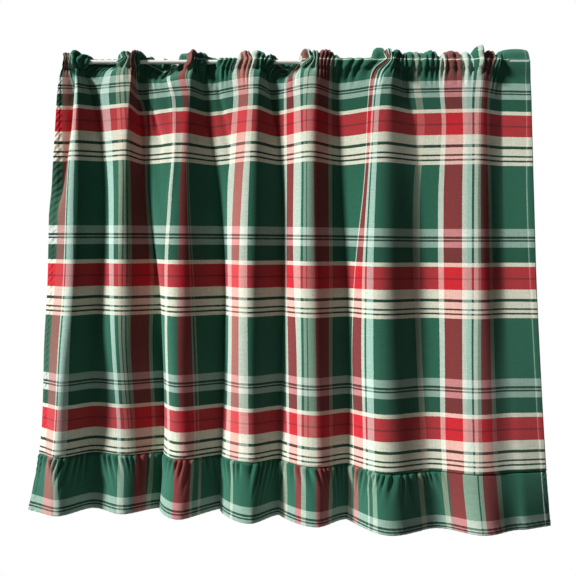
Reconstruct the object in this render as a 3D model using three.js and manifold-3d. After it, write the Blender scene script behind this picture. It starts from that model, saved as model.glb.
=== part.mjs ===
// A tier curtain hanging from its rod: a plaid panel gathered on a rod pocket, with a ruffle along its foot.
// Millimetres. The origin is the centre of the rod's left end face, X runs along the rod, +Z is up, and the
// front of the curtain faces -Y. The cloth is three pieces of work: the panel with its folded heading, the
// ruffle, and the rod that carries them.
import * as THREE from "three";
import { mergeVertices } from "three/addons/utils/BufferGeometryUtils.js";
import Module from "manifold-3d";

// Rod
const ROD_LENGTH = 891;
const ROD_DIAMETER = 8;
const ROD_SIDES = 32;
const PASSAGE_SIDES = 16; // the slits are cut by a coarser bar, drawn round the rod with EASE to spare

// Cloth
const CLOTH = 1.5; // thickness of the sheet
const EASE = 0.3; // air between the rod and the cloth
const SEAM_GAP = 0.45; // the drop from the panel's edge to the ruffle's, which leaves about 0.3 between them
const LAYER_GAP = 2.3; // from one layer's middle to the next in the folded heading
const HEADING_HEIGHT = 25; // from the fold at the top to the pocket's upper stitch line
const POCKET_END = -28; // the flap at the back ends here, below the rod
const COLUMNS = 70; // warp threads that carry the mesh, evenly spaced across the flat cloth

// Heights of the named levels, down from the rod's axis
const LEVEL = {
  rod: 0,
  neck: -60,
  shoulder: -130,
  upper: -265,
  middle: -370,
  lower: -475,
  seam: -781,
  hem: -895,
};
const STITCH_LINE = 5.5; // the pocket's upper stitch line, just above the rod

// One row for each fold: where its crest or trough lies along the rod at seven levels, how far it stands
// behind (+) or in front of (-) the rod's axis, how much the heading lifts the cloth there, and its shape:
// how upright the flank on a crest's left stands towards the hem, or how round a trough is there.
const FOLDS = [
  // name, x: rod, neck, shoulder, upper, lower, seam, hem, depth: neck, middle, seam, hem, lift, shape
  ["left edge", 1, -8, -14, -25, -33, -61, -85, -12, 2, 8, 12, 11, 0],
  ["crest 1", 22, 31, 28, 24, 16, -19, -17, -18, -20, -26, -24, 12, 0],
  ["trough 1", 36, 50, 66, 76, 63, 48, 42, 5, 8, 12, 20, 12, 0.9],
  ["crest 2", 135, 131, 125, 117, 112, 108, 106, -18, -14, -6, -12, 14, 0],
  ["trough 2", 158, 144, 149, 160, 184, 183, 173, 2, 15, 22, 26, 2, 0.6],
  ["crest 3", 246, 242, 234, 224, 221, 221, 218, -18, -25, -24, -30, 6, 1.0],
  ["trough 3", 262, 271, 278, 300, 309, 298, 294, 0, 17, 20, 36, 0, 0.2],
  ["crest 4", 378, 371, 366, 360, 356, 356, 355, -18, -25, -22, -32, 10, 1.0],
  ["trough 4", 402, 402, 408, 419, 420, 414, 412, 3, 11, 14, 22, 2, 0.6],
  ["crest 5", 475, 476, 473, 469, 472, 481, 481, -18, -25, -27, -27, 11, 0.7],
  ["trough 5", 525, 524, 527, 533, 545, 547, 545, 5, 10, 10, 26, 2, 0.7],
  ["crest 6", 632, 620, 613, 606, 607, 612, 616, -16, -24, -34, -38, 10, 0.5],
  ["trough 6", 655, 656, 674, 684, 690, 703, 717, 2, 8, 2, 12, 5, 1.0],
  ["crest 7", 796, 794, 791, 786, 789, 790, 799, -11, -16, -22, -24, 5, 0],
  ["trough 7", 835, 838, 839, 841, 848, 867, 878, 5, 5, -6, 4, 2, 1.0],
  ["right edge", 890, 893, 895, 899, 906, 923, 939, -2, 0, 2, 24, 0, 0],
].map(([name, ...n]) => ({ name, x: n.slice(0, 7), depth: n.slice(7, 11), lift: n[11], shape: n[12] }));
const X_LEVELS = [LEVEL.rod, LEVEL.neck, LEVEL.shoulder, LEVEL.upper, LEVEL.lower, LEVEL.seam, LEVEL.hem];
const DEPTH_LEVELS = [LEVEL.neck, LEVEL.middle, LEVEL.seam, LEVEL.hem];
const CREST_SHARE = 0.22; // this much of each flank, next to its crest, is rounded; the rest is straight
const UPRIGHT = { start: -150, end: -450 }; // crests roll over between these heights
const ROUNDED = { start: -90, end: -400 }; // and troughs open out between these

// One row for each stretch of the heading, left to right: where it ends along the rod, whether the cloth
// passes in front of the rod (-1, the rod is in the pocket) or behind it (1, the rod shows), the height of
// the top edge, and how far the stitch line sags in the stretch's middle.
const HEADING = [
  // name, end, side, top, sag
  ["knot a", 50, -1, 21, 0],
  ["gap a-b", 104, 1, 7, 0],
  ["knot b", 151, -1, 21, 0],
  ["gap b-c", 232, 1, 7, 22],
  ["knot c", 275, -1, 21, 0],
  ["gap c-d", 296, 1, 8, 0],
  ["tuck c-d", 338, -1, 8, 0],
  ["knot d", 400, -1, 23, 0],
  ["gap d-e", 455, 1, 7, 18],
  ["knot e", 525, -1, 24, 0],
  ["tuck e-f", 594, -1, 9, 0],
  ["knot f", 648, -1, 28, 0],
  ["right half", ROD_LENGTH, -1, 29, 0],
].map(([name, end, side, top, sag]) => ({ name, end, side, top, sag }));
const CHANGEOVER = 7; // half the length over which one stretch turns into the next

// The left part of the curtain hangs a little higher, and swings back towards its foot
const LEFT_REACH = { full: 60, none: 680, curve: 1.6 };
const LEFT_RAISE = 7;
const FOOT = { start: -500, end: LEVEL.seam, raise: 14, swing: 40 };
const LIFT_FADE = { full: -40, hold: -90, gone: -320 };
const FOLDS_BEGIN = -6; // above this the heading alone sets the cloth's depth
const FOLDS_OPEN = -42; // and from here down the folds have their full depth

const clamp01 = (t) => Math.min(Math.max(t, 0), 1);
const soft = (t) => clamp01(t) ** 2 * (3 - 2 * clamp01(t));
const mix = (a, b, t) => a + (b - a) * t;
const between = (z, start, end) => soft((z - start) / (end - start));

/** A smooth curve through values given at falling levels, read at height z. */
function through(levels, values, z) {
  const at = Math.min(Math.max(z, levels.at(-1)), levels[0]);
  let i = 0;
  while (i < levels.length - 2 && at < levels[i + 1]) i += 1;
  const slope = (k) => {
    const a = Math.max(k - 1, 0);
    const b = Math.min(k + 1, levels.length - 1);
    return (values[b] - values[a]) / (levels[b] - levels[a]);
  };
  const span = levels[i + 1] - levels[i];
  const t = (at - levels[i]) / span;
  return (
    values[i] * (2 * t ** 3 - 3 * t ** 2 + 1) +
    slope(i) * span * (t ** 3 - 2 * t ** 2 + t) +
    values[i + 1] * (3 * t ** 2 - 2 * t ** 3) +
    slope(i + 1) * span * (t ** 3 - t ** 2)
  );
}

/** How much of a value that ramps between fold lines belongs at place x, for the lift. */
function alongFolds(x, z, read) {
  const xs = FOLDS.map((f) => through(X_LEVELS, f.x, z));
  let i = 0;
  while (i < xs.length - 2 && x > xs[i + 1]) i += 1;
  return mix(read(FOLDS[i]), read(FOLDS[i + 1]), soft((x - xs[i]) / (xs[i + 1] - xs[i])));
}

/**
 * The cloth's cross-section at height z: COLUMNS + 1 points, evenly spaced along its length. Each flank
 * between two fold lines is rounded next to its crest and straight from there to its trough; a round trough
 * turns it into half a cosine lower down, and a crest's roll stands the flank on its left upright.
 */
function section(z) {
  const xs = FOLDS.map((f) => through(X_LEVELS, f.x, z));
  const ys = FOLDS.map((f) => through(DEPTH_LEVELS, f.depth, Math.min(z, LEVEL.neck)));
  const steps = 24;
  const curve = [];
  for (let k = 0; k + 1 < FOLDS.length; k += 1) {
    const rising = ys[k + 1] < ys[k];
    const roll = rising ? FOLDS[k + 1].shape * between(z, UPRIGHT.start, UPRIGHT.end) : 0;
    const round = FOLDS[rising ? k : k + 1].shape * between(z, ROUNDED.start, ROUNDED.end);
    for (let s = k === 0 ? 0 : 1; s <= steps; s += 1) {
      const f = s / steps;
      const q = rising ? 1 - f : f;
      const half = CREST_SHARE / 2;
      const straight = (q < CREST_SHARE ? q ** 2 / (4 * half) : q - half) / (1 - half);
      const fall = mix(straight, (1 - Math.cos(Math.PI * q)) / 2, round);
      curve.push([mix(xs[k], xs[k + 1], f ** (1 + roll)), mix(ys[k], ys[k + 1], rising ? 1 - fall : fall)]);
    }
  }
  const length = [0];
  for (let i = 1; i < curve.length; i += 1) {
    length.push(length[i - 1] + Math.hypot(curve[i][0] - curve[i - 1][0], curve[i][1] - curve[i - 1][1]));
  }
  const points = [];
  let i = 0;
  for (let c = 0; c <= COLUMNS; c += 1) {
    const want = (length.at(-1) * c) / COLUMNS;
    while (i < length.length - 2 && length[i + 1] < want) i += 1;
    const t = (want - length[i]) / (length[i + 1] - length[i]);
    points.push([mix(curve[i][0], curve[i + 1][0], t), mix(curve[i][1], curve[i + 1][1], t)]);
  }
  return points;
}

/** A heading value at place x along the rod, turning softly from one stretch to the next. */
function alongHeading(x, read) {
  let value = read(HEADING[0]);
  for (let i = 0; i + 1 < HEADING.length; i += 1) {
    const edge = HEADING[i].end;
    value += (read(HEADING[i + 1]) - read(HEADING[i])) * soft((x - edge + CHANGEOVER) / (2 * CHANGEOVER));
  }
  return value;
}

/** How far the stitch line hangs below its usual height: a tent over each sagging stretch. */
function sagAt(x) {
  let start = 0;
  for (const stretch of HEADING) {
    if (stretch.sag > 0 && x > start && x < stretch.end) {
      const half = (stretch.end - start) / 2;
      return stretch.sag * (1 - Math.abs(x - start - half) / half);
    }
    start = stretch.end;
  }
  return 0;
}

/** How much of the left part's raise and swing belongs at x, from 1 at the left edge to 0. */
function leftShare(x) {
  const away = (x - LEFT_REACH.full) / (LEFT_REACH.none - LEFT_REACH.full);
  return 1 - clamp01(away) ** LEFT_REACH.curve;
}

/** Moves a point of the plain section to where the cloth hangs, with its lift, raise and swing. */
function hung([x, y], z) {
  const share = leftShare(x);
  const foot = between(z, FOOT.start, FOOT.end);
  const raised = share * LEFT_RAISE;
  const fading = between(z, LIFT_FADE.hold, LIFT_FADE.gone);
  const lifted = mix(alongFolds(x, z, (f) => f.lift), raised, fading);
  const up = lifted * between(z, 0, LIFT_FADE.full) + share * foot * FOOT.raise;
  return [x, y + share * foot * FOOT.swing, z + up];
}

/** The heading's front layer at the rod: in front of the rod in the pocket, behind it in a gap. */
const threadDepth = (x) => alongHeading(x, (s) => s.side) * (ROD_DIAMETER / 2 + EASE + CLOTH / 2 + 0.25);

/** The front layer at height z, from the stitch line down: the heading's depth gives way to the folds. */
function frontRow(z) {
  const folding = between(z, FOLDS_BEGIN, FOLDS_OPEN);
  return section(Math.min(z, 0)).map(([x, y]) => {
    const narrow = z > 0 ? mix(1, 0.45, z / STITCH_LINE) : 1;
    const held = threadDepth(x) < 0 ? threadDepth(x) * narrow : threadDepth(x);
    const point = hung([x, mix(held, y, folding)], z);
    const sag = sagAt(x) * (1 - between(z, STITCH_LINE, LEVEL.neck));
    return [point[0], point[1], point[2] - sag];
  });
}

/** The back layer at height z: behind the rod, or close behind the front layer where that is behind too. */
function backRow(z) {
  const rodBehind = ROD_DIAMETER / 2 + EASE + CLOTH / 2 + 0.25;
  const open = 1 - between(Math.abs(z), 3, 20);
  return frontRow(z).map(([x, y, h]) => {
    const close = y + LAYER_GAP;
    return [x, Math.max(close, mix(close, rodBehind, open)), h];
  });
}

/** The heading at share t of its height: it leans back where its top edge is low; layer 0 front, 1 back. */
function headingRow(t, layer) {
  const line = frontRow(STITCH_LINE);
  return line.map(([x, y, z]) => {
    const top = alongHeading(x, (s) => s.top);
    const lean = Math.acos(Math.min(Math.max((top - z) / HEADING_HEIGHT, 0.05), 1));
    const along = HEADING_HEIGHT * t;
    const apart = LAYER_GAP * layer;
    return [
      x,
      y + along * Math.sin(lean) + apart * Math.cos(lean),
      z + along * Math.cos(lean) - apart * Math.sin(lean),
    ];
  });
}

/** Turns a grid of middle points, rows by columns, into one closed sheet of the cloth's thickness. */
function sheet(rows) {
  const height = rows.length;
  const width = rows[0].length;
  const at = (r, c) => new THREE.Vector3(...rows[r][c]);
  const front = [];
  const back = [];
  for (let r = 0; r < height; r += 1) {
    for (let c = 0; c < width; c += 1) {
      const across = at(r, Math.min(c + 1, width - 1)).sub(at(r, Math.max(c - 1, 0)));
      const down = at(Math.min(r + 1, height - 1), c).sub(at(Math.max(r - 1, 0), c));
      const normal = down.cross(across).normalize().multiplyScalar(CLOTH / 2);
      front.push(...at(r, c).add(normal).toArray());
      back.push(...at(r, c).sub(normal).toArray());
    }
  }
  const positions = [...front, ...back];
  const other = height * width;
  const index = [];
  const quad = (a, b, c, d) => index.push(a, b, c, a, c, d);
  for (let r = 0; r + 1 < height; r += 1) {
    for (let c = 0; c + 1 < width; c += 1) {
      const a = r * width + c;
      quad(a, a + width, a + width + 1, a + 1);
      quad(other + a, other + a + 1, other + a + width + 1, other + a + width);
    }
  }
  for (let c = 0; c + 1 < width; c += 1) {
    const foot = (height - 1) * width + c;
    quad(c, c + 1, other + c + 1, other + c);
    quad(foot, other + foot, other + foot + 1, foot + 1);
  }
  for (let r = 0; r + 1 < height; r += 1) {
    const left = r * width;
    const right = left + width - 1;
    quad(left, other + left, other + left + width, left + width);
    quad(right, right + width, other + right + width, other + right);
  }
  const geometry = new THREE.BufferGeometry();
  geometry.setAttribute("position", new THREE.Float32BufferAttribute(positions, 3));
  geometry.setIndex(index);
  return geometry;
}

const wasm = await Module();
wasm.setup();

/** A closed geometry as a manifold solid. */
function toSolid(geometry) {
  const bare = geometry.clone();
  bare.deleteAttribute("normal");
  bare.deleteAttribute("uv");
  const merged = mergeVertices(bare, 1e-4);
  const vertProperties = new Float32Array(merged.attributes.position.array);
  const triVerts = new Uint32Array(merged.index.array);
  return new wasm.Manifold(new wasm.Mesh({ numProp: 3, vertProperties, triVerts }));
}

/** A manifold solid back as a geometry. */
function toGeometry(solid) {
  const mesh = solid.getMesh();
  const geometry = new THREE.BufferGeometry();
  geometry.setAttribute("position", new THREE.BufferAttribute(new Float32Array(mesh.vertProperties), 3));
  geometry.setIndex(new THREE.BufferAttribute(new Uint32Array(mesh.triVerts), 1));
  return geometry;
}

/** A cylinder on the rod's axis that starts at x. */
function bar(start, length, diameter, sides) {
  const geometry = new THREE.CylinderGeometry(diameter / 2, diameter / 2, length, sides);
  geometry.rotateZ(-Math.PI / 2);
  geometry.translate(start + length / 2, 0, 0);
  return geometry;
}

/** The rod: a plain round bar. */
function rodShape() {
  return bar(0, ROD_LENGTH, ROD_DIAMETER, ROD_SIDES);
}

/** The panel: up the back flap, over the heading's fold, down the front, with slits where the rod passes. */
function panelShape() {
  const flap = [POCKET_END, -14, -5, 1].map(backRow);
  const heading = [headingRow(0.15, 1), headingRow(0.6, 1), headingRow(1, 0.5), headingRow(0.6, 0)];
  const pocket = [STITCH_LINE, 0, -6, -16, -32].map(frontRow);
  const { neck, shoulder, upper, lower, seam } = LEVEL;
  const body = [neck, -95, shoulder, -195, upper, -340, -410, lower, -560, -640, -715, seam];
  const cloth = toSolid(sheet([...flap, ...heading, ...pocket, ...body.map(frontRow)]));
  const reach = 5;
  const across = (ROD_DIAMETER + 2 * EASE) / Math.cos(Math.PI / PASSAGE_SIDES);
  const passage = toSolid(bar(-reach, ROD_LENGTH + 2 * reach, across, PASSAGE_SIDES));
  return toGeometry(cloth.subtract(passage));
}

/** The ruffle: hangs on from the panel's lower edge and follows the same folds to the hem. */
function ruffleShape() {
  const top = frontRow(LEVEL.seam).map(([x, y, z]) => [x, y, z - SEAM_GAP]);
  return sheet([top, ...[-800, -830, -862, LEVEL.hem].map(frontRow)]);
}

const paint = new THREE.MeshStandardMaterial({ color: 0xf2f1ec, roughness: 0.45, metalness: 0.1 });
const plaid = new THREE.MeshStandardMaterial({ color: 0x245c45, roughness: 0.9, metalness: 0 });
const plaidRuffle = new THREE.MeshStandardMaterial({ color: 0x2a664d, roughness: 0.9, metalness: 0 });

/** One named piece of the curtain. */
function piece(name, geometry, material) {
  const mesh = new THREE.Mesh(geometry, material);
  mesh.name = name;
  return mesh;
}

const curtain = new THREE.Group();
curtain.add(piece("rod", rodShape(), paint));
curtain.add(piece("panel", panelShape(), plaid));
curtain.add(piece("ruffle", ruffleShape(), plaidRuffle));

export default curtain;
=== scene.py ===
"""The looks of a plaid tier curtain on its rod: woven cloth, gathered heading, ruffle and painted rod.

Tables of the cloth are in millimetres, as a maker cuts and hangs it, and the meshes are in metres. X runs
along the rod, the front faces -Y, and Z is up from the rod's axis.
"""

import math

import bpy
import numpy as np
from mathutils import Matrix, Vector


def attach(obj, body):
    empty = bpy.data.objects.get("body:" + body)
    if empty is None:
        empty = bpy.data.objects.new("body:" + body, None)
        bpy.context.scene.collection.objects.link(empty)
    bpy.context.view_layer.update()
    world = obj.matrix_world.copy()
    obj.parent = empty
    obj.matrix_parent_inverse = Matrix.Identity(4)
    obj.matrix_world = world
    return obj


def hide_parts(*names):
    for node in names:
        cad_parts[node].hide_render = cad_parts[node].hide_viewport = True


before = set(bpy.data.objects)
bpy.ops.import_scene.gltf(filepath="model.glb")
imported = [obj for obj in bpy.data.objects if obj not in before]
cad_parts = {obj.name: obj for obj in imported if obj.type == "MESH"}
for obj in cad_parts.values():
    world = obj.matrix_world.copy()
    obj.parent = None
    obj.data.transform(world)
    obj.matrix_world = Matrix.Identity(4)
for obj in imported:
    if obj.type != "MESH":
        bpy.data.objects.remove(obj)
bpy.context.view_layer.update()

MM = 0.001

# ----------------------------------------------------------------------------------- the hung cloth

ROD_LENGTH = 891.0
ROD_RADIUS = 4.0
CLOTH = 1.1  # thickness of the woven sheet
LAYER_GAP = 2.3  # from one layer's middle to the next in the folded heading
HEADING_HEIGHT = 25.0  # from the fold at the top to the pocket's upper stitch line
POCKET_END = -28.0  # the flap at the back ends here
STITCH_LINE = 5.5  # height of the pocket's upper stitch line
SEAM_GAP = 0.45  # from the panel's edge down to the ruffle's
THREAD_DEPTH = 5.3  # the cloth's middle passes this far in front of or behind the rod's axis
STITCHED_SHARE = 0.45  # and at the stitch line this share of it in front
ROD_CLEARANCE = 1.6  # from the rod to the flap's middle where the flap passes behind it
CROWN = 1.5  # the fold at the top stands this far above the heading's last rows

FOLDS_START = -6.0  # the rod holds the cloth at its own depth down to here
FOLDS_OPEN = -42.0  # the folds have their full depth from here down
UPRIGHT = (-150.0, -450.0)  # a crest's left flank turns upright between these heights
ROUNDED = (-90.0, -400.0)  # and a trough turns round between these
LIFT_START = -40.0  # the cloth has all of its lift from here down
LIFT_FADE = (-90.0, -320.0)  # the heading's lift gives way to the left part's raise between these heights
LEFT_PART = (60.0, 620.0, 1.6)  # the left part ends here, then fades over this much, to this power
LEFT_RAISE = 7.0  # the left part hangs this much higher
FOOT_START = -500.0  # and from here down it swings back and up
FOOT_BACK = 40.0
FOOT_UP = 14.0
NECK, SHOULDER, UPPER, MIDDLE, LOWER, SEAM, HEM = -60.0, -130.0, -265.0, -370.0, -475.0, -781.0, -895.0

# One row for each fold line: x along the rod at seven levels, depth behind (+) or in front of (-) the rod's
# axis, how much the heading lifts the cloth there, and how upright the flank on a crest's left stands, or
# how round a trough is.
FOLDS = [
    # x: rod, neck, shoulder, upper, lower, seam, hem, depth: neck, middle, seam, hem, lift, roll or round
    ("left edge", 1, -8, -14, -25, -33, -61, -85, -12, 2, 8, 12, 11, 0),
    ("crest 1", 22, 31, 28, 24, 16, -19, -17, -18, -20, -26, -24, 12, 0),
    ("trough 1", 36, 50, 66, 76, 63, 48, 42, 5, 8, 12, 20, 12, 0.9),
    ("crest 2", 135, 131, 125, 117, 112, 108, 106, -18, -14, -6, -12, 14, 0),
    ("trough 2", 158, 144, 149, 160, 184, 183, 173, 2, 15, 22, 26, 2, 0.6),
    ("crest 3", 246, 242, 234, 224, 221, 221, 218, -18, -25, -24, -30, 6, 1.0),
    ("trough 3", 262, 271, 278, 300, 309, 298, 294, 0, 17, 20, 36, 0, 0.2),
    ("crest 4", 378, 371, 366, 360, 356, 356, 355, -18, -25, -22, -32, 10, 1.0),
    ("trough 4", 402, 402, 408, 419, 420, 414, 412, 3, 11, 14, 22, 2, 0.6),
    ("crest 5", 475, 476, 473, 469, 472, 481, 481, -18, -25, -27, -27, 11, 0.7),
    ("trough 5", 525, 524, 527, 533, 545, 547, 545, 5, 10, 10, 26, 2, 0.7),
    ("crest 6", 632, 620, 613, 606, 607, 612, 616, -16, -24, -34, -38, 10, 0.5),
    ("trough 6", 655, 656, 674, 684, 690, 703, 717, 2, 8, 2, 12, 5, 1.0),
    ("crest 7", 796, 794, 791, 786, 789, 790, 799, -11, -16, -22, -24, 5, 0),
    ("trough 7", 835, 838, 839, 841, 848, 867, 878, 5, 5, -6, 4, 2, 1.0),
    ("right edge", 890, 893, 895, 899, 906, 923, 939, -2, 0, 2, 24, 0, 0),
]
FOLD = np.array([row[1:] for row in FOLDS], float)
X_LEVELS = (0.0, NECK, SHOULDER, UPPER, LOWER, SEAM, HEM)
DEPTH_LEVELS = (NECK, MIDDLE, SEAM, HEM)
CREST_SHARE = 0.22  # this much of each flank, next to its crest, is rounded

# One row for each stretch of the heading: where it ends along the rod, whether the cloth passes in front of
# the rod (-1) or behind it (1), the height of its top edge, and how far its stitch line sags in the middle.
HEADING = [
    ("knot a", 50, -1, 21, 0),
    ("gap a-b", 104, 1, 7, 0),
    ("knot b", 151, -1, 21, 0),
    ("gap b-c", 232, 1, 7, 22),
    ("knot c", 275, -1, 21, 0),
    ("gap c-d", 296, 1, 8, 0),
    ("tuck c-d", 338, -1, 8, 0),
    ("knot d", 400, -1, 23, 0),
    ("gap d-e", 455, 1, 7, 18),
    ("knot e", 525, -1, 24, 0),
    ("tuck e-f", 594, -1, 9, 0),
    ("knot f", 648, -1, 28, 0),
    ("right half", ROD_LENGTH, -1, 29, 0),
]
CHANGEOVER = 7.0  # one stretch turns into the next over this much to each side
GATHER_PITCH = 13.5  # flat cloth to each gather
GATHERS_END = (1125.0, 30.0)  # from this flat place, over this much, the cloth loses its gathers

# The frill above the knots: each lobe's middle along the rod, half width, top, and how far it bulges
# forward.
LOBES = [
    ("a rose", 5, 9, 19, 3),
    ("a green", 22, 11, 22, 7),
    ("a right", 40, 12, 16, 5),
    ("b left", 117, 14, 21, 7),
    ("b right", 141, 12, 22, 6),
    ("b bump", 162, 9, 15, 4),
    ("c left", 230, 12, 20, 6),
    ("c peak", 248, 9, 22, 8),
    ("c right", 265, 10, 20, 5),
    ("c bump", 283, 9, 14, 4),
    ("d red", 347, 11, 23, 6),
    ("d middle", 372, 13, 22, 7),
    ("d brown", 399, 11, 17, 5),
    ("e brown", 464, 11, 25, 6),
    ("e mint", 481, 8, 23, 5),
    ("e red", 502, 15, 24, 7),
    ("e end", 520, 7, 16, 3),
    ("f green", 603, 11, 28, 6),
    ("f middle", 621, 8, 25, 7),
    ("f right", 638, 10, 23, 6),
    ("wave 1", 669, 24, 21, 5),
    ("wave 2", 703, 14, 23, 5),
    ("red", 743, 18, 23, 5),
    ("pale", 771, 13, 21, 4),
    ("dark", 794, 11, 29, 6),
    ("red thin", 816, 11, 23, 5),
    ("end flat", 866, 32, 27, 2),
]

LOW_TOP = 8.5  # height of the heading's top edge away from the lobes
LOBE_DROP = 5.5  # from a lobe's top down to its shoulder, a half width away
LOBE_SKIRT = 0.25  # past the shoulder a lobe falls away over this share of its half width

# Where the heading is drawn together: x, half width, how much the cloth closes in, how far it stands
# forward.
PINCHES = [
    ("a", 23, 20, 0.55, 7),
    ("b", 134, 22, 0.60, 8),
    ("c", 247, 20, 0.55, 8),
    ("d", 372, 20, 0.55, 7),
    ("e", 482, 24, 0.35, 5),
    ("f", 626, 18, 0.60, 8),
    ("wave", 692, 12, 0.35, 3),
    ("dark", 801, 14, 0.40, 4),
    ("end", 832, 10, 0.45, 3),
]

KNOT_HEIGHT = 4.0  # the knots draw the cloth in most at this height
KNOT_SPREAD = (8.0, 26.0)  # how far up and how far down from there a knot draws the cloth in
KNOT_GATHERS_SPREAD = (10.0, 20.0)  # and deepens its gathers

# Smaller folds that run down from the heading: how far they stand out (+) or in (-), their reach to the left
# and to the right, and their line as pairs of x and height.
CREASES = [
    ("left of crest 1", -18, 16, 5, [(24, -4), (19, -73), (14, -130), (7, -180), (-12, -300)]),
    (
        "beside trough 2",
        -9,
        11,
        6,
        [(146, -2), (158, -44), (164, -82), (175, -120), (185, -153), (192, -200)],
    ),
    (
        "right of trough 3",
        -6,
        7,
        4,
        [(266, -4), (292, -38), (301, -78), (309, -122), (316, -165), (318, -230)],
    ),
    ("patch by trough 2", -2.5, 9, 9, [(176, -170), (187, -245), (194, -305)]),
    ("ridge by crest 3", 2.5, 5, 6, [(206, -40), (212, -110), (216, -190), (206, -262), (200, -310)]),
    ("left of d", -5, 6, 4, [(377, -8), (391, -25), (397, -60), (401, -90), (404, -130)]),
    ("under b", 5, 4, 5, [(139, -5), (156, -28), (163, -60), (166, -100), (172, -150)]),
]

CREASE_FADE = (60.0, 15.0)  # a crease fades in over this much at its foot and this much at its head

# Threads of the cloth: flat place from the left selvedge, and their place among the folds at six levels. The
# left edge is fold line 0, and 3.25 is a quarter of the way from fold line 3 to fold line 4.
THREADS = [
    # flat, heading, pocket, neck, upper, lower, foot
    (0, 0.00, 0.00, 0.00, 0.00, 0.00, 0.00),
    (20, 0.10, 0.10, 0.22, 0.37, 0.27, 0.30),
    (48, 0.50, 0.39, 0.69, 0.70, 0.68, 0.78),
    (65, 0.75, 0.86, 1.02, 1.02, 1.18, 1.27),
    (90, 2.05, 1.95, 1.37, 1.32, 1.60, 1.70),
    (163, 2.75, 2.52, 2.18, 2.22, 2.62, 2.77),
    (188, 2.81, 2.68, 2.62, 2.73, 2.91, 2.99),
    (201, 2.85, 2.78, 2.80, 3.08, 3.06, 3.15),
    (213, 2.94, 2.93, 3.07, 3.30, 3.23, 3.27),
    (250, 3.28, 3.42, 4.05, 3.89, 3.66, 3.67),
    (259, 3.40, 3.66, 4.11, 4.06, 3.77, 3.79),
    (275, 4.04, 4.08, 4.26, 4.24, 3.97, 3.98),
    (321, 4.59, 4.46, 4.68, 4.73, 4.44, 4.45),
    (338, 4.81, 4.71, 4.91, 5.01, 4.98, 4.97),
    (366, 5.61, 4.99, 5.12, 5.25, 5.40, 5.45),
    (395, 6.16, 6.06, 5.90, 5.56, 5.66, 5.74),
    (453, 6.59, 6.52, 6.55, 6.33, 6.39, 6.40),
    (468, 6.65, 6.60, 6.64, 6.51, 6.54, 6.55),
    (505, 6.81, 6.80, 6.84, 6.75, 6.75, 6.77),
    (521, 6.88, 6.86, 6.91, 6.91, 6.95, 6.95),
    (565, 8.03, 7.66, 7.53, 7.44, 7.48, 7.53),
    (613, 8.66, 8.35, 8.23, 8.12, 8.24, 8.36),
    (638, 8.84, 8.53, 8.51, 8.48, 8.65, 8.67),
    (668, 8.97, 8.73, 8.70, 8.77, 8.78, 8.76),
    (694, 9.23, 9.20, 9.06, 9.12, 9.09, 9.06),
    (733, 9.80, 9.69, 9.61, 9.58, 9.45, 9.42),
    (746, 9.91, 9.85, 9.81, 9.73, 9.58, 9.56),
    (817, 10.82, 10.66, 10.62, 10.58, 10.20, 10.25),
    (831, 10.86, 10.72, 10.69, 10.65, 10.51, 10.54),
    (854, 10.95, 10.86, 10.83, 10.84, 10.78, 10.78),
    (953, 12.09, 12.09, 12.09, 11.79, 11.78, 11.80),
    (968, 12.18, 12.18, 12.18, 11.97, 11.90, 11.93),
    (1005, 12.44, 12.43, 12.43, 12.30, 12.26, 12.22),
    (1015, 12.51, 12.51, 12.49, 12.40, 12.36, 12.32),
    (1053, 12.72, 12.74, 12.74, 12.73, 12.68, 12.67),
    (1073, 12.87, 12.89, 12.88, 12.90, 12.85, 12.86),
    (1093, 13.22, 13.14, 13.05, 13.13, 13.05, 13.06),
    (1121, 13.81, 13.61, 13.43, 13.56, 13.50, 13.48),
    (1197, 14.84, 14.80, 14.79, 14.72, 14.76, 14.74),
    (1215, 15.00, 15.00, 15.00, 15.00, 15.00, 15.00),
]
THREAD_LEVELS = (STITCH_LINE, -18.0, -87.0, -262.0, -535.0, -720.0)
PANEL_FLAT = 1215.0  # the panel's width before gathering
RUFFLE_FLAT = 1380.0

# Length of cloth from the top fold down to each height: where the cloth slopes forward it runs faster.
DROP = [
    # height, length of cloth
    (28.5, 0.0),
    (-42.0, 70.5),
    (-56.5, 86.0),
    (-72.7, 105.5),
    (-94.6, 134.5),
    (-143.0, 186.0),
    (-198.0, 241.0),
    (-319.0, 357.5),
    (-604.0, 644.5),
    (-781.0, 821.0),
]
SLANT = 10.0  # the seam is cut this much out of true: the panel ends so much higher in the plaid on the left
SLANT_START = -560.0  # which shows from here down
SIDE_HEM = (11.0, 2.5)  # a side hem's width, and the step down from it to the single cloth
DOUBLE_CLOTH = 0.9  # the side hems and the seam stand out this much
SLIT_ROOM = 0.9  # between the rod and the edges of the slits where it passes through the cloth
ROD_INSET = 2.0  # the slits stop this far from the rod's ends
PANEL_COLUMNS = 560
RUFFLE_COLUMNS = 620
RUFFLE_MIDDLE = -838.0  # the ruffle is shared out evenly along the folds at this height
RUFFLE_PITCH = 16.0  # flat cloth to each of its gathers
RUFFLE_CALM = (660.0, 90.0)  # from here along the rod, over this much, they die away
FOOT_HEM = -881.0  # height of the foot hem's upper edge


def soft(t):
    """3t^2 - 2t^3 with t held between 0 and 1."""
    t = np.clip(t, 0, 1)
    return t * t * (3 - 2 * t)


def between(z, start, end):
    return soft((z - start) / (end - start))


def mix(a, b, t):
    return a + (b - a) * t


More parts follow.
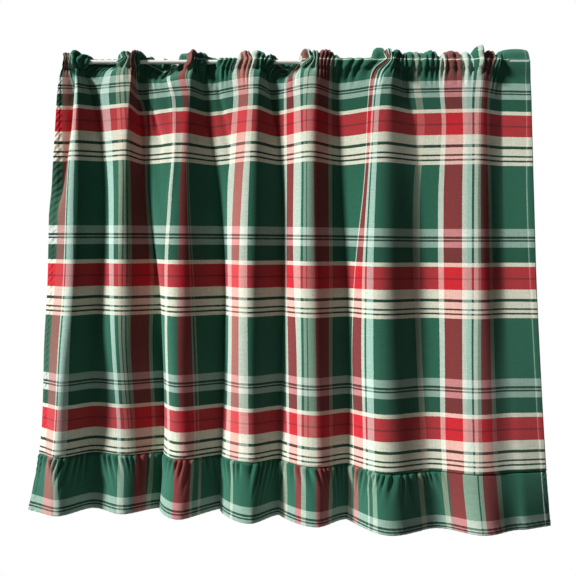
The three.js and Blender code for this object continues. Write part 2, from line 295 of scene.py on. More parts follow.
def through(levels, values, z):
    """Smooth cubics through values (last axis) given at falling levels, read at heights z (first axis)."""
    depth = -np.asarray(levels, float)
    v = np.moveaxis(np.asarray(values, float), -1, 0)
    wide = (-1,) + (1,) * (v.ndim - 1)
    slope = np.empty_like(v)
    slope[1:-1] = (v[2:] - v[:-2]) / (depth[2:] - depth[:-2]).reshape(wide)
    slope[0] = (v[1] - v[0]) / (depth[1] - depth[0])
    slope[-1] = (v[-1] - v[-2]) / (depth[-1] - depth[-2])
    at = np.clip(-np.asarray(z, float), depth[0], depth[-1])
    i = np.clip(np.searchsorted(depth, at, side="left") - 1, 0, len(depth) - 2)
    span = (depth[i + 1] - depth[i]).reshape(wide)
    t = (at - depth[i]).reshape(wide) / span
    return (
        v[i] * (2 * t**3 - 3 * t**2 + 1)
        + slope[i] * span * (t**3 - 2 * t**2 + t)
        + v[i + 1] * (3 * t**2 - 2 * t**3)
        + slope[i + 1] * span * (t**3 - t**2)
    )


def section(b, z):
    """Plan of the folds: x and depth for fold places b (rows, columns) at heights z (rows).

    Each flank is rounded next to its crest and straight from there to its trough, but lower down a round
    trough turns the flank into half a cosine. Where a crest has roll, the flank on its left stands upright
    in its trough and leans over towards the crest: x goes as the share of the way, raised to 1 + roll.
    """
    xs = through(X_LEVELS, FOLD[:, :7], z)
    ys = through(DEPTH_LEVELS, FOLD[:, 7:11], np.minimum(z, NECK))
    k = np.clip(np.floor(b).astype(int), 0, len(FOLD) - 2)
    f = b - k
    x0, x1 = np.take_along_axis(xs, k, 1), np.take_along_axis(xs, k + 1, 1)
    y0, y1 = np.take_along_axis(ys, k, 1), np.take_along_axis(ys, k + 1, 1)
    rising = y1 < y0
    lower_down = between(z, *UPRIGHT)[:, None]
    roll = np.where(rising, FOLD[k + 1, 12], 0) * lower_down
    rounded = np.where(rising, FOLD[k, 12], FOLD[k + 1, 12]) * between(z, *ROUNDED)[:, None]
    q = np.where(rising, 1 - f, f)
    fall = np.where(q < CREST_SHARE, q * q / (2 * CREST_SHARE), q - CREST_SHARE / 2) / (1 - CREST_SHARE / 2)
    fall = mix(fall, (1 - np.cos(np.pi * q)) / 2, rounded)
    run = f ** (1 + roll)
    return mix(x0, x1, run), mix(y0, y1, np.where(rising, 1 - fall, fall))


def left_share(x):
    """1 at the left edge, falling to 0 about three quarters of the way along the rod."""
    end, fade, power = LEFT_PART
    return 1 - np.clip((x - end) / fade, 0, 1) ** power


def hung(x, y, b, z):
    """Lift by the heading, and the left part's raise and backward swing; z is the plain height (rows, 1)."""
    k = np.clip(np.floor(b).astype(int), 0, len(FOLD) - 2)
    lift = mix(FOLD[k, 11], FOLD[k + 1, 11], soft(b - k))
    share = left_share(x)
    foot = between(z, FOOT_START, SEAM)
    lifted = mix(share * LEFT_RAISE, lift, 1 - between(z, *LIFT_FADE))
    raised = z + lifted * between(z, 0, LIFT_START) + share * foot * FOOT_UP
    return x, y + share * foot * FOOT_BACK, raised


def along_heading(x, column):
    """A HEADING value at x, turning softly from one stretch to the next."""
    value = np.full_like(x, HEADING[0][column], dtype=float)
    for left, right in zip(HEADING[:-1], HEADING[1:]):
        value = value + (right[column] - left[column]) * soft((x - left[1] + CHANGEOVER) / (2 * CHANGEOVER))
    return value


def sag(x):
    """A tent over each sagging stretch of the heading."""
    drop = np.zeros_like(x)
    start = 0.0
    for _, end, _, _, depth in HEADING:
        half = (end - start) / 2
        drop = drop + depth * np.clip(1 - np.abs(x - start - half) / half, 0, 1)
        start = end
    return drop


def front_layer(b, z):
    """The front layer from the stitch line down; b is (rows, columns) and z (rows)."""
    x, y = section(b, np.minimum(z, 0))
    zz = z[:, None]
    held = along_heading(x, 2) * THREAD_DEPTH
    narrow = np.where(zz > 0, mix(1.0, STITCHED_SHARE, np.clip(zz / STITCH_LINE, 0, 1)), 1.0)
    held = np.where(held < 0, held * narrow, held)
    y = mix(held, y, between(zz, FOLDS_START, FOLDS_OPEN))
    x, y, h = hung(x, y, b, zz)
    return x, y, h - sag(x) * (1 - between(zz, STITCH_LINE, NECK))


def outward(x, y):
    """Unit normals of the plan, towards the front, for rows of points that run to the right."""
    dx, dy = np.gradient(x, axis=1), np.gradient(y, axis=1)
    length = np.hypot(dx, dy) + 1e-9
    return dy / length, -dx / length


def gather_wave(flat, pitch, seed):
    """Fine gathers across the cloth, 0 in the creases to 1 on the crests: |cos| of an uneven phase."""
    phase = flat / pitch + 0.45 * np.sin(flat / 23.0 + seed) + 0.22 * np.sin(flat / 9.0 + 2.1 * seed)
    return np.sqrt(np.cos(np.pi * phase) ** 2 + 0.02)


def ungathered_end(flat):
    """1, falling to 0 where the cloth lies flat next to its right edge."""
    start, fade = GATHERS_END
    return 1 - soft((flat - start) / fade)


def side_hem(edge):
    """1 in a side hem, falling to 0 just inside it; edge is the flat way to the nearer side."""
    width, step = SIDE_HEM
    return 1 - soft((edge - width) / step)


def uneven(flat, seed):
    """A slow wander between 0 and 1 along the cloth."""
    wander = np.sin(flat / 17.0 + seed) + np.sin(flat / 29.0 + 1.7 * seed) + np.sin(flat / 11.3 + 0.6 * seed)
    return 0.5 + wander / 6


def flat_to_folds(flat, z):
    """Fold places (rows, columns) of the panel's threads, averaged over a few millimetres of cloth."""
    table = np.array(THREADS, float)
    step = np.arange(-6, 7) * 1.0
    weight = np.exp(-((step / 3.5) ** 2))
    weight /= weight.sum()
    places = []
    for level in range(len(THREAD_LEVELS)):
        b = sum(w * np.interp(flat + s, table[:, 0], table[:, 1 + level]) for s, w in zip(step, weight))
        b[0], b[-1] = 0.0, len(FOLDS) - 1
        places.append(b)
    return np.clip(through(THREAD_LEVELS, np.array(places).T, z), 0, len(FOLDS) - 1 - 1e-6)


def lobe_top(x):
    """Height of the heading's top edge along the rod, and how far it bulges forward there."""
    top = np.full_like(x, LOW_TOP)
    bulge = np.zeros_like(x)
    for _, centre, half, high, forward in LOBES:
        t = np.clip(np.abs(x - centre) / half, 0, 1 + LOBE_SKIRT)
        shoulder = high - LOBE_DROP
        skirt = mix(shoulder, LOW_TOP, soft((t - 1) / LOBE_SKIRT))
        top = np.maximum(top, np.where(t < 1, mix(high, shoulder, t**3), skirt))
        bulge = np.maximum(bulge, forward * np.cos(np.clip(t, 0, 1) * np.pi / 2) ** 1.2)
    return top, bulge


def knot_pull(x, height, centre, half, spread):
    """1 in the middle of a knot: a bell along the rod times a bell up and down."""
    reach = np.where(height > KNOT_HEIGHT, *spread)
    return np.exp(-(((x - centre) / half) ** 2)) * np.exp(-(((height - KNOT_HEIGHT) / reach) ** 2))


def drawn_together(x, y, height):
    """The knots: x closes in on each pinch and the cloth stands forward there, most at the knot's height."""
    for _, centre, half, close, forward in PINCHES:
        weight = knot_pull(x, height, centre, half, KNOT_SPREAD)
        x = x - close * (x - centre) * weight
        y = y - forward * weight
    return x, y


def pinch_weight(x, height):
    """How much the knots deepen the gathers, 0 to 1."""
    total = np.zeros_like(x + height)
    for _, centre, half, _, _ in PINCHES:
        total = total + knot_pull(x, height, centre, 1.2 * half, KNOT_GATHERS_SPREAD)
    return np.clip(total, 0, 1)


def crease_depth(x, height):
    """The smaller folds, fading at both ends: sharp valleys where they go in, round ridges where not."""
    foot, head = CREASE_FADE
    total = np.zeros_like(x)
    for _, out, left, right, line in CREASES:
        points = np.array(line, float)[::-1]
        centre = np.interp(height, points[:, 1], points[:, 0])
        low, high = points[0, 1], points[-1, 1]
        fade = soft((height - low) / foot) * soft((high - height) / head)
        away = np.abs(x - centre) / np.where(x < centre, left, right)
        total = total + out * np.where(out < 0, np.exp(-away), np.exp(-(away**2))) * fade
    return total


def grid_mesh(name, points, flat, length, keep=None):
    """Points (rows, columns, 3) in millimetres to a mesh, with the cloth's own flat places as its UV map."""
    rows, columns = points.shape[:2]
    index = np.arange(rows * columns).reshape(rows, columns)
    quads = np.stack([index[1:, :-1], index[1:, 1:], index[:-1, 1:], index[:-1, :-1]], -1).reshape(-1, 4)
    if keep is not None:
        quads = quads[keep.reshape(-1)]
    mesh = bpy.data.meshes.new(name)
    mesh.from_pydata((points.reshape(-1, 3) * MM).tolist(), [], quads.tolist())
    uv = np.stack([flat, length], -1).reshape(-1, 2) * MM
    layer = mesh.uv_layers.new(name="cloth")
    layer.data.foreach_set("uv", uv[quads.reshape(-1)].astype(np.float32).reshape(-1))
    mesh.polygons.foreach_set("use_smooth", np.ones(len(quads), bool))
    mesh.update()
    return mesh


def piece(name, mesh, material):
    obj = bpy.data.objects.new(name, mesh)
    bpy.context.scene.collection.objects.link(obj)
    mesh.materials.append(material)
    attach(obj, "root")
    return obj


def give_thickness(obj, thickness):
    """A real sheet: the wall grows equally to both sides of the surface."""
    bpy.context.view_layer.objects.active = obj
    wall = obj.modifiers.new("thickness", "SOLIDIFY")
    wall.thickness = thickness * MM
    wall.offset = 0.0
    wall.use_even_offset = False
    wall.use_rim = True


# ------------------------------------------------------------------------------ cloth, as materials

# Dyed yarns, as display values, and the share of the weft's cover that each lets through where they cross.
YARNS = {
    "green": (16, 73, 50, 1.0),
    "deep": (10, 58, 38, 1.0),
    "leaf": (146, 166, 146, 0.75),
    "mint": (180, 214, 200, 0.55),
    "pale": (220, 222, 206, 0.58),
    "sage": (150, 150, 125, 0.8),
    "rose": (168, 66, 60, 0.8),
    "blush": (210, 84, 80, 0.7),
    "hem": (60, 70, 50, 1.7),
    "red": (158, 6, 14, 0.88),
}
PANEL_WARP = [
    ("hem", 20),
    ("rose", 28),
    ("pale", 2.5),
    ("deep", 1.5),
    ("mint", 13),
    ("green", 98),
    ("mint", 15),
    ("green", 11),
    ("sage", 7),
    ("deep", 2),
    ("sage", 5),
    ("deep", 2),
    ("sage", 8),
    ("red", 37),
    ("sage", 7),
    ("deep", 2),
    ("green", 63.5),
    ("pale", 4.5),
    ("green", 11),
    ("red", 20),
    ("sage", 3),
    ("green", 2),
    ("sage", 3),
    ("green", 86.5),
    ("pale", 16),
    ("blush", 36.5),
    ("pale", 16),
    ("green", 92),
    ("pale", 2.5),
    ("green", 1.5),
    ("pale", 2.5),
    ("red", 18.5),
    ("pale", 24),
    ("mint", 3.5),
    ("green", 5.5),
    ("leaf", 7),
    ("green", 2),
    ("leaf", 10),
    ("sage", 4),
    ("red", 38.5),
    ("sage", 10),
    ("deep", 3.5),
    ("green", 68),
    ("pale", 3),
    ("red", 14),
    ("pale", 6),
    ("green", 3),
    ("mint", 14),
    ("green", 99),
    ("sage", 15.5),
    ("green", 36.5),
    ("pale", 10),
    ("red", 38),
    ("pale", 10),
    ("mint", 9),
    ("deep", 4),
    ("pale", 8),
    ("leaf", 9),
    ("red", 18.5),
    ("sage", 9.5),
    ("green", 78),
    ("leaf", 2.5),
    ("green", 13.5),
]
RUFFLE_WARP = [
    ("green", 35),
    ("rose", 31),
    ("leaf", 11),
    ("green", 149),
    ("leaf", 13),
    ("green", 22),
    ("red", 32),
    ("green", 3),
    ("sage", 11),
    ("green", 90),
    ("red", 37),
    ("sage", 8),
    ("green", 13),
    ("sage", 9),
    ("green", 102),
    ("leaf", 8),
    ("green", 134),
    ("sage", 18),
    ("green", 24),
    ("red", 16),
    ("leaf", 10),
    ("green", 23),
    ("red", 33),
    ("sage", 13),
    ("green", 45),
    ("sage", 12),
    ("green", 6),
    ("rose", 12),
    ("green", 26),
    ("leaf", 7),
    ("green", 8),
    ("leaf", 9),
    ("green", 107),
    ("sage", 14),
    ("green", 43),
    ("sage", 12),
    ("deep", 3),
    ("red", 31),
    ("leaf", 30),
    ("deep", 4),
    ("leaf", 9),
    ("red", 32),
    ("sage", 12),
    ("green", 99),
    ("pale", 2),
    ("green", 12),
]
# Where the pale line of the heading's stitches is not lost among the knots, from the left selvedge
LINE_SHOWS = [
    ("off", 270),
    ("on", 66),
    ("off", 30),
    ("on", 70),
    ("off", 66),
    ("on", 140),
    ("off", 60),
    ("on", 513),
]
LINE_PLACE = 25.2  # the stitches' distance down from the top fold
LINE_HALF = 0.9  # half their line's width
# The weft, down the cloth from the top of a pale band, with how much of it covers the warp
WEFT_YARNS = {
    "green": (16, 73, 50, 0.42),
    "pine": (4, 50, 31, 0.5),
    "deep": (8, 34, 20, 0.7),
    "pale": (200, 212, 200, 0.57),
    "cream": (240, 229, 206, 0.82),
    "red": (196, 10, 20, 0.76),
    "wine": (128, 6, 16, 0.85),
}
WEFT = [
    ("pale", 14.5),
    ("deep", 3.5),
    ("pale", 3),
    ("deep", 3),
    ("pale", 11),
    ("pine", 29),
    ("cream", 8),
    ("red", 22),
    ("wine", 2.5),
    ("red", 19),
    ("cream", 19),
    ("deep", 5.5),
    ("cream", 11.5),
    ("deep", 3.5),
    ("cream", 5.5),
    ("deep", 3.5),
    ("cream", 6.5),
    ("green", 116.5),
]
WEFT_REPEAT = 287.0
WEFT_START = 70.5  # the first pale band starts this far down from the top fold
HEADING_LENGTH = 64.0  # from the top fold down to here the weft covers more
HEADING_COVER = 1.35  # so many times as much
RUFFLE_START = 196.0  # the ruffle's top edge is this far into the repeat on the right
RUFFLE_SLANT = 5.0  # and this much further on the left
RUFFLE_RUN = 119 / 113.5  # length of its cloth to each millimetre of height
YARN_PITCH = 1.15  # from one thread of the weave to the next but one
HEM_TURNS = (62.0, 76.0)  # turns of the left hem's ripple to a metre, across and down
HEM_WIDTH = 19.0  # flat width of that ripple


class Nodes:
    """A short way to add nodes to a material and join them."""

    def __init__(self, name):
        self.material = bpy.data.materials.new(name)
        self.material.use_nodes = True
        self.tree = self.material.node_tree
        self.tree.nodes.clear()

    def add(self, kind, **settings):
        node = self.tree.nodes.new(kind)
        for key, value in settings.items():
            setattr(node, key, value)
        return node

    def join(self, source, target):
        self.tree.links.new(source, target)

    def math(self, operation, a, b=None, clamp=False):
        node = self.add("ShaderNodeMath", operation=operation, use_clamp=clamp)
        for socket, value in zip(node.inputs, (a, b)):
            if value is None:
                continue
            if isinstance(value, (int, float)):
                socket.default_value = value
            else:
                self.join(value, socket)
        return node.outputs[0]

    def blend(self, kind, factor, a, b):
        node = self.add("ShaderNodeMix", data_type="RGBA", blend_type=kind)
        for socket, value in ((node.inputs[0], factor), (node.inputs[6], a), (node.inputs[7], b)):
            if isinstance(value, (int, float)):
                socket.default_value = value
            elif isinstance(value, tuple):
                socket.default_value = value
            else:
                self.join(value, socket)
        return node.outputs[2]

    def noise(self, vector, scale, detail=2.0, stretch=None):
        if stretch is not None:
            mapping = self.add("ShaderNodeMapping")
            mapping.inputs["Scale"].default_value = stretch
            self.join(vector, mapping.inputs["Vector"])
            vector = mapping.outputs[0]
        node = self.add("ShaderNodeTexNoise")
        node.inputs["Scale"].default_value = scale
        node.inputs["Detail"].default_value = detail
        self.join(vector, node.inputs["Vector"])
        return node.outputs["Fac"]


RAMP_STOPS = 30


def stripe_chart(nodes, place, bands, yarns, width):
    """Stripes by place: colour and alpha, from as many ramps as the bands need.

    The place is in metres, the bands and the whole width are in millimetres.
    """
    starts = np.concatenate([[0], np.cumsum([w for _, w in bands])[:-1]])
    colour = alpha = None
    for first in range(0, len(bands), RAMP_STOPS):
        group = bands[first : first + RAMP_STOPS]
        begin = starts[first]
        end = starts[first + RAMP_STOPS] if first + RAMP_STOPS < len(bands) else width
        past_begin = nodes.math("SUBTRACT", place, float(begin * MM))
        share = nodes.math("DIVIDE", past_begin, float((end - begin) * MM))
        ramp = nodes.add("ShaderNodeValToRGB")
        ramp.color_ramp.interpolation = "CONSTANT"
        stops = ramp.color_ramp.elements
        while len(stops) < len(group):
            stops.new(0.5)
        for stop, _, start in zip(stops, group, starts[first:]):
            stop.position = (start - begin) / (end - begin)
        for stop, (yarn, _) in zip(stops, group):
            r, g, b, a = yarns[yarn]
            stop.color = (r / 255, g / 255, b / 255, a)
        nodes.join(share, ramp.inputs[0])
        if colour is None:
            colour, alpha = ramp.outputs["Color"], ramp.outputs["Alpha"]
        else:
            past = nodes.math("GREATER_THAN", place, float(begin * MM))
            colour = nodes.blend("MIX", past, colour, ramp.outputs["Color"])
            keep = nodes.math("MULTIPLY", alpha, nodes.math("SUBTRACT", 1.0, past))
            alpha = nodes.math("ADD", keep, nodes.math("MULTIPLY", ramp.outputs["Alpha"], past))
    return colour, alpha


def woven_plaid(name, warp, width, weft_start, heading=False):
    """Yarn-dyed plaid: warp stripes across, weft stripes down, mixed by how much of the weft shows."""
    n = Nodes(name)
    uv = n.add("ShaderNodeUVMap", uv_map="cloth").outputs[0]
    wobble = n.noise(uv, 260.0, 1.0)
    shift = n.math("MULTIPLY", n.math("SUBTRACT", wobble, 0.5), 0.0011)
    parts = n.add("ShaderNodeSeparateXYZ")
    n.join(uv, parts.inputs[0])
    across = n.math("ADD", parts.outputs[0], shift)
    down = n.math("ADD", parts.outputs[1], shift)
    from_start = n.math("ADD", down, (WEFT_REPEAT * 4 - weft_start) * MM)
    turns = n.math("FRACT", n.math("DIVIDE", from_start, WEFT_REPEAT * MM))
    in_repeat = n.math("MULTIPLY", turns, WEFT_REPEAT * MM)
    warp_colour, lets_through = stripe_chart(n, across, warp, YARNS, width)
    weft_colour, weft_cover = stripe_chart(n, in_repeat, WEFT, WEFT_YARNS, WEFT_REPEAT)
    cover = n.math("MULTIPLY", weft_cover, lets_through)
    if heading:
        below = n.math("GREATER_THAN", down, HEADING_LENGTH * MM)
        more = n.math("ADD", n.math("MULTIPLY", below, 1 - HEADING_COVER), HEADING_COVER)
        cover = n.math("MULTIPLY", cover, more)
    dyed = n.blend("MIX", cover, warp_colour, weft_colour)
    if heading:
        line = n.math("COMPARE", down, LINE_PLACE * MM)
        line.node.inputs[2].default_value = LINE_HALF * MM
        shown = stripe_chart(n, across, LINE_SHOWS, {"on": (1, 1, 1, 0.75), "off": (1, 1, 1, 0.0)}, width)[1]
        dyed = n.blend("MIX", n.math("MULTIPLY", line, shown), dyed, (0.88, 0.86, 0.78, 1.0))
    slub_down = n.noise(uv, 1.0, 2.0, (900.0, 28.0, 1.0))
    slub_across = n.noise(uv, 1.0, 2.0, (28.0, 900.0, 1.0))
    heather = n.noise(uv, 240.0, 3.0)
    grain = n.math("ADD", n.math("ADD", slub_down, slub_across), heather)
    tone = n.math("ADD", n.math("MULTIPLY", grain, 0.22), 1.0 - 0.33)
    grey = n.add("ShaderNodeCombineColor")
    for socket in grey.inputs[:3]:
        n.join(tone, socket)
    mottled = n.blend("MULTIPLY", 1.0, dyed, grey.outputs[0])
    gamma = n.add("ShaderNodeGamma")
    gamma.inputs["Gamma"].default_value = 2.2
    n.join(mottled, gamma.inputs["Color"])
    over = n.math("SINE", n.math("MULTIPLY", parts.outputs[0], 2 * math.pi / (YARN_PITCH * MM)))
    under = n.math("SINE", n.math("MULTIPLY", parts.outputs[1], 2 * math.pi / (YARN_PITCH * MM)))
    weave = n.math("MULTIPLY", over, under)
    height = n.math("ADD", n.math("MULTIPLY", weave, 0.35), grain)
    turns_across = n.math("MULTIPLY", parts.outputs[0], HEM_TURNS[0])
    slantwise = n.math("ADD", turns_across, n.math("MULTIPLY", parts.outputs[1], HEM_TURNS[1]))
    uneven_turns = n.math("MULTIPLY", n.noise(uv, 30.0), 1.2)
    ripple = n.math("SINE", n.math("MULTIPLY", n.math("ADD", slantwise, uneven_turns), 2 * math.pi))
    in_hem = n.math("LESS_THAN", across, HEM_WIDTH * MM)
    height = n.math("ADD", height, n.math("MULTIPLY", n.math("MULTIPLY", ripple, in_hem), 3.0))
    bump = n.add("ShaderNodeBump")
    bump.inputs["Strength"].default_value = 0.35
    bump.inputs["Distance"].default_value = 0.00045
    n.join(height, bump.inputs["Height"])
    shader = n.add("ShaderNodeBsdfPrincipled")
    n.join(gamma.outputs[0], shader.inputs["Base Color"])
    rough = n.math("ADD", n.math("MULTIPLY", heather, 0.12), 0.72)
    n.join(rough, shader.inputs["Roughness"])
    shader.inputs["Specular IOR Level"].default_value = 0.02
    shader.inputs["Sheen Weight"].default_value = 1.0
    shader.inputs["Sheen Roughness"].default_value = 0.75
    n.join(n.blend("MIX", 0.14, mottled, (0.8, 0.9, 1.0, 1.0)), shader.inputs["Sheen Tint"])
    n.join(bump.outputs[0], shader.inputs["Normal"])
    out = n.add("ShaderNodeOutputMaterial")
    n.join(shader.outputs[0], out.inputs["Surface"])
    return n.material


def painted_rod():
    """Off-white enamel on a steel tube, with a faint draw along its length."""
    n = Nodes("painted rod")
    place = n.add("ShaderNodeTexCoord").outputs["Object"]
    drawn = n.noise(place, 1.0, 3.0, (14.0, 700.0, 700.0))
    spots = n.noise(place, 420.0, 2.0)
    spotted = n.math("MULTIPLY", spots, 0.35)
    colour = n.blend("MIX", spotted, (0.86, 0.86, 0.83, 1.0), (0.74, 0.74, 0.70, 1.0))
    shader = n.add("ShaderNodeBsdfPrincipled")
    n.join(colour, shader.inputs["Base Color"])
    n.join(n.math("ADD", n.math("MULTIPLY", drawn, 0.2), 0.28), shader.inputs["Roughness"])
    bump = n.add("ShaderNodeBump")
    bump.inputs["Strength"].default_value = 0.15
    bump.inputs["Distance"].default_value = 0.0002
    n.join(drawn, bump.inputs["Height"])
    n.join(bump.outputs[0], shader.inputs["Normal"])
    out = n.add("ShaderNodeOutputMaterial")
    n.join(shader.outputs[0], out.inputs["Surface"])
    return n.material


# --------------------------------------------------------------------------------------- the pieces


def gathered_front(flat, down):
    """The panel's front from the stitch line down, with its gathers, creases, hems and knots.

    Gathers are deepest just under the rod and fade away unevenly; behind the rod they only go back, and in
    front of it only forward. The side hems and the seam stand out a little.
    """
    b = flat_to_folds(flat, down)
    x, y, z = front_layer(b, down)
    height = np.repeat(down[:, None], len(flat), 1)
    wide = np.repeat(flat[None], len(down), 0)

    side = np.sign(along_heading(x, 2))
    pinched = pinch_weight(x, height)
    reach = mix(10.0, 40.0, uneven(wide, 3.0) ** 1.5)
    fade = np.where(height > -14, 1.0, np.exp(-(((-14 - height) / reach) ** 2)))
    amount = (4.0 + 5.0 * uneven(wide, 1.0) ** 1.5) * fade * (1 + 0.5 * pinched) * ungathered_end(wide)
    wave = gather_wave(wide, GATHER_PITCH, 0.7)
    near_rod = 1 - between(height, -9, -18)
    gathers = amount * mix(wave - 0.6, np.where(side > 0, wave - 1.05, wave - 0.1), near_rod)
    out = gathers + crease_depth(x, height)

    edge = np.minimum(wide, PANEL_FLAT - wide)
    out = out + side_hem(edge) * DOUBLE_CLOTH * between(height, -30, -70)
    out = out + DOUBLE_CLOTH * between(height, -770, SEAM)
    nx, ny = outward(x, y)
    x, y = drawn_together(x + nx * out, y + ny * out, height)
    return b, np.stack([x, y, z], -1)


def panel_surface():
    """The panel's rows: up the back flap, over the top fold, and down the front to the seam."""
    flat = np.linspace(0, PANEL_FLAT, PANEL_COLUMNS + 1)
    down = np.concatenate(
        [
            np.array([STITCH_LINE, 3, 0, -3, -6, -9, -12, -15, -18.5, -22, -26, -30]),
            np.array([-35, -40, -46, -52, -60]),
            np.array([-68, -77, -87, -98, -110, -124, -140, -158]),
            np.linspace(-178, -740, 29),
            np.array([-755, -767, -775, SEAM]),
        ]
    )
    b, front = gathered_front(flat, down)
    height = np.repeat(down[:, None], len(flat), 1)

    line = front[0]
    share = np.array([0.1, 0.2, 0.32, 0.45, 0.58, 0.7, 0.8, 0.89, 0.96])
    length = HEADING_HEIGHT * share[:, None]
    free_x = np.repeat(section(b[:1], np.array([0.0]))[0], len(share), 0)
    hx = mix(line[None, :, 0], free_x, soft(length / 14))
    top, bulge = lobe_top(hx)
    lean = np.arccos(np.clip((top - line[None, :, 2]) / HEADING_HEIGHT, 0.06, 1))
    wave = gather_wave(flat, GATHER_PITCH, 0.7) - 0.6
    frill = (2.2 + 2.5 * uneven(flat, 5.0)) * wave * ungathered_end(flat)
    forward = (bulge + frill[None]) * soft(length / 16)
    puff = 1.6 * np.sin(np.pi * share)[:, None]

    def heading_rows(layer):
        back = layer * LAYER_GAP + (2 * layer - 1) * puff
        hy = line[None, :, 1] + length * np.sin(lean) + back * np.cos(lean) - forward
        hz = line[None, :, 2] + length * np.cos(lean) - back * np.sin(lean)
        return np.stack([hx, hy, hz], -1)

    head_front, head_back = heading_rows(0), heading_rows(1)
    top_middle = (head_front[-1] + head_back[-1]) / 2
    top_lean = lean[-1]
    crown = top_middle + np.stack([0 * top_lean, np.sin(top_lean), np.cos(top_lean)], -1) * CROWN

    flap_z = np.array([STITCH_LINE, 2, -2, -7, -12, -17, -22, POCKET_END])
    flap = gathered_front(flat, flap_z)[1]
    at_rod = 1 - between(np.abs(flap_z[:, None]), 3, 20)
    nearest = mix(flap[..., 1] + LAYER_GAP, ROD_RADIUS + ROD_CLEARANCE, at_rod)
    flap[..., 1] = np.maximum(flap[..., 1] + LAYER_GAP, nearest)

    points = np.concatenate([flap[::-1], head_back, crown[None], head_front[::-1], front])
    drop = np.array(DROP, float)[::-1]
    front_length = np.interp(down, drop[:, 0], drop[:, 1])
    head_length = HEADING_HEIGHT * (1 - share)
    flap_length = HEADING_HEIGHT + STITCH_LINE - flap_z[::-1]
    lengths = np.concatenate([-flap_length, -head_length, [0.0], head_length[::-1], front_length])
    lengths = np.repeat(lengths[:, None], len(flat), 1)
    slanted = np.clip((SLANT_START - height) / (SLANT_START - SEAM), 0, 1)
    slant = SLANT * left_share(front[..., 0]) * slanted
    lengths[-len(down) :] -= slant
    return points, np.repeat(flat[None], len(points), 0), lengths


def clear_of_rod(points):
    """Which faces stay: those with their middle outside the rod, so the cloth has slits where it passes."""
    middle = (points[1:, 1:] + points[:-1, 1:] + points[1:, :-1] + points[:-1, :-1]) / 4
    along = (middle[..., 0] > ROD_INSET) & (middle[..., 0] < ROD_LENGTH - ROD_INSET)
    return ~(along & (np.hypot(middle[..., 1], middle[..., 2]) < ROD_RADIUS + SLIT_ROOM))


def ruffle_surface():
    """The ruffle's rows on the panel's folds: a seam allowance up behind the panel, then down to the hem.

    Its own gathers are deepest just under the seam and die away below it.
    """
    flat = np.linspace(0, RUFFLE_FLAT, RUFFLE_COLUMNS + 1)
    fine = np.linspace(0, len(FOLDS) - 1 - 1e-6, 3001)[None]
    sx, sy = section(fine, np.array([RUFFLE_MIDDLE]))
    arc = np.concatenate([[0], np.cumsum(np.hypot(np.diff(sx[0]), np.diff(sy[0])))])
    b = np.interp(flat, arc * RUFFLE_FLAT / arc[-1], fine[0])[None]
    near_seam = np.array([-7, -4, -1.5, 0, 1.5, 3.5, 6, 9, 12.5, 16.5, 21, 26, 32, 39, 47, 56, 66, 76])
    near_hem = np.array([86, 94, 99, 101, 103, 107, 111])
    z = np.concatenate([SEAM - SEAM_GAP - near_seam, SEAM - SEAM_GAP - near_hem, [HEM]])
    b = np.repeat(b, len(z), 0)
    x, y, h = front_layer(b, z)
    wide = np.repeat(flat[None], len(z), 0)
    below = (SEAM - SEAM_GAP - z)[:, None]
    reach = mix(20.0, 66.0, uneven(wide, 2.0) ** 1.5)
    calm_from, calm_over = RUFFLE_CALM
    gathered = 1 - soft((x - calm_from) / calm_over)
    strength = gathered * (0.75 + 1.0 * uneven(wide, 4.0) ** 1.5)
    rise = soft(below / 5)
    slanted = wide + below * (0.35 * np.sin(wide / 47.0))
    wave = gather_wave(slanted, RUFFLE_PITCH, 1.9) - 0.55
    gathers = 6.0 * strength * wave * rise * np.exp(-((below / reach) ** 2))
    tucked = -1.8 * (1 - soft(below / 4))
    full = 1.5 * rise * np.exp(-((below / 40) ** 2)) * gathered
    edge = np.minimum(wide, RUFFLE_FLAT - wide)
    in_foot = soft((FOOT_HEM - z[:, None]) / 2)
    side_ripple = np.sin(2 * np.pi * (z[:, None] / 12 + edge / 15))
    foot_ripple = np.sin(2 * np.pi * (wide / 14 + z[:, None] / 21) + 1.1 * np.sin(wide / 40))
    hem = side_hem(edge) * (0.5 + 0.5 * side_ripple) + in_foot * (0.45 + 0.3 * foot_ripple)
    out = gathers + tucked + full + hem
    nx, ny = outward(x, y)
    points = np.stack([x + nx * out, y + ny * out, h], -1)
    length = RUFFLE_START + below * RUFFLE_RUN + RUFFLE_SLANT * left_share(x)
    return points, wide, length


plaid = woven_plaid("plaid cloth", PANEL_WARP, PANEL_FLAT, WEFT_START, heading=True)
plaid_ruffle = woven_plaid("plaid ruffle cloth", RUFFLE_WARP, RUFFLE_FLAT, 0.0)
enamel = painted_rod()

points, flat, length = panel_surface()
mesh = grid_mesh("panel_cloth", points, flat, length, clear_of_rod(points))
panel = piece("panel_cloth", mesh, plaid)
give_thickness(panel, CLOTH)
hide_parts("panel")

points, flat, length = ruffle_surface()
mesh = grid_mesh("ruffle_cloth", points, flat, length)
ruffle = piece("ruffle_cloth", mesh, plaid_ruffle)
give_thickness(ruffle, CLOTH)
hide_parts("ruffle")

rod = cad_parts["rod"]
rod.data.materials.clear()
rod.data.materials.append(enamel)

# -------------------------------------------------------------------------- camera, light and floor

camera_data = bpy.data.cameras.new("camera")
camera_data.lens = 45.8
camera_data.shift_y = -0.097
camera = bpy.data.objects.new("camera", camera_data)
camera.location = (0.4292, -1.4, -0.325)
camera.rotation_euler = (math.radians(90), 0, 0)
bpy.context.scene.collection.objects.link(camera)
bpy.context.scene.camera = camera


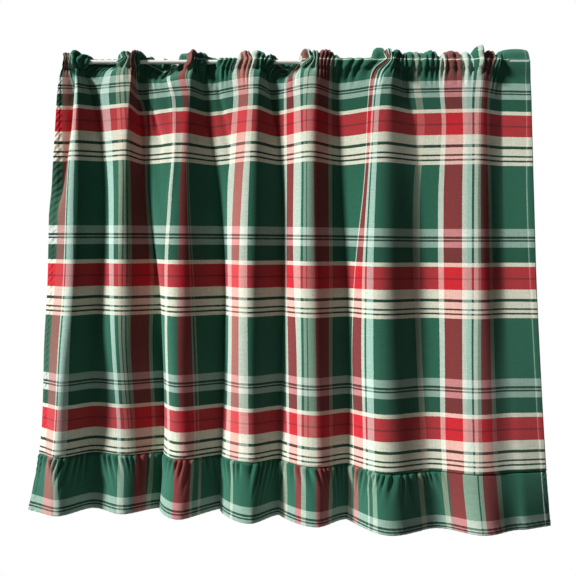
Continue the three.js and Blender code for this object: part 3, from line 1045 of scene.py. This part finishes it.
def sun(name, strength, azimuth, elevation, softness):
    """A sun that shines from azimuth degrees to the left of the front and elevation degrees up."""
    light = bpy.data.lights.new(name, "SUN")
    light.energy = strength
    light.angle = math.radians(softness)
    lamp = bpy.data.objects.new(name, light)
    a, e = math.radians(azimuth), math.radians(elevation)
    towards = Vector((-math.sin(a) * math.cos(e), -math.cos(a) * math.cos(e), math.sin(e)))
    lamp.rotation_euler = towards.to_track_quat("Z", "Y").to_euler()
    bpy.context.scene.collection.objects.link(lamp)
    return lamp


sun("key", strength=5.6, azimuth=66, elevation=32, softness=8)


def studio_world():
    """Plain white behind the curtain, and a low fill, brighter from the left, for everything else."""
    world = bpy.data.worlds.new("studio")
    bpy.context.scene.world = world
    world.use_nodes = True
    tree = world.node_tree
    tree.nodes.clear()
    path = tree.nodes.new("ShaderNodeLightPath")
    seen = tree.nodes.new("ShaderNodeMath")
    seen.operation = "MAXIMUM"
    tree.links.new(path.outputs["Is Camera Ray"], seen.inputs[0])
    shiny = tree.nodes.new("ShaderNodeMath")
    shiny.operation = "MAXIMUM"
    tree.links.new(path.outputs["Is Glossy Ray"], shiny.inputs[0])
    tree.links.new(path.outputs["Is Transmission Ray"], shiny.inputs[1])
    tree.links.new(shiny.outputs[0], seen.inputs[1])
    fill = tree.nodes.new("ShaderNodeBackground")
    fill.inputs["Color"].default_value = (1.0, 0.98, 0.92, 1.0)
    from_left = tree.nodes.new("ShaderNodeMapRange")
    from_left.inputs["From Min"].default_value = 0.9
    from_left.inputs["From Max"].default_value = -0.9
    from_left.inputs["To Min"].default_value = 0.03
    from_left.inputs["To Max"].default_value = 0.15
    direction = tree.nodes.new("ShaderNodeTexCoord")
    apart = tree.nodes.new("ShaderNodeSeparateXYZ")
    tree.links.new(direction.outputs["Generated"], apart.inputs[0])
    tree.links.new(apart.outputs[0], from_left.inputs["Value"])
    tree.links.new(from_left.outputs[0], fill.inputs["Strength"])
    white = tree.nodes.new("ShaderNodeBackground")
    white.inputs["Strength"].default_value = 1.0
    white.inputs["Color"].default_value = (1.0, 1.0, 1.0, 1.0)
    choose = tree.nodes.new("ShaderNodeMixShader")
    out = tree.nodes.new("ShaderNodeOutputWorld")
    tree.links.new(seen.outputs[0], choose.inputs[0])
    tree.links.new(fill.outputs[0], choose.inputs[1])
    tree.links.new(white.outputs[0], choose.inputs[2])
    tree.links.new(choose.outputs[0], out.inputs["Surface"])


studio_world()


def pale_floor():
    """A round pale floor under the curtain that fades out at its rim."""
    radius = 0.62
    sides = 96
    n = Nodes("pale floor")
    place = n.add("ShaderNodeTexCoord").outputs["Object"]
    distance = n.add("ShaderNodeVectorMath", operation="LENGTH")
    n.join(place, distance.inputs[0])
    solid = n.math("MULTIPLY", n.math("SUBTRACT", radius, distance.outputs["Value"]), 5.0, clamp=True)
    shader = n.add("ShaderNodeBsdfPrincipled")
    shader.inputs["Base Color"].default_value = (0.86, 0.86, 0.85, 1.0)
    shader.inputs["Roughness"].default_value = 0.8
    n.join(solid, shader.inputs["Alpha"])
    out = n.add("ShaderNodeOutputMaterial")
    n.join(shader.outputs[0], out.inputs["Surface"])
    mesh = bpy.data.meshes.new("floor")
    turn = np.linspace(0, 2 * np.pi, sides + 1)[:-1]
    ring = np.stack([radius * np.cos(turn), radius * np.sin(turn), 0 * turn], -1)
    mesh.from_pydata(ring.tolist(), [], [list(range(sides))])
    mesh.materials.append(n.material)
    floor = bpy.data.objects.new("floor", mesh)
    floor.location = (0.43, 0.0, -1.35)
    bpy.context.scene.collection.objects.link(floor)


pale_floor()

bpy.context.scene.view_settings.view_transform = "Standard"
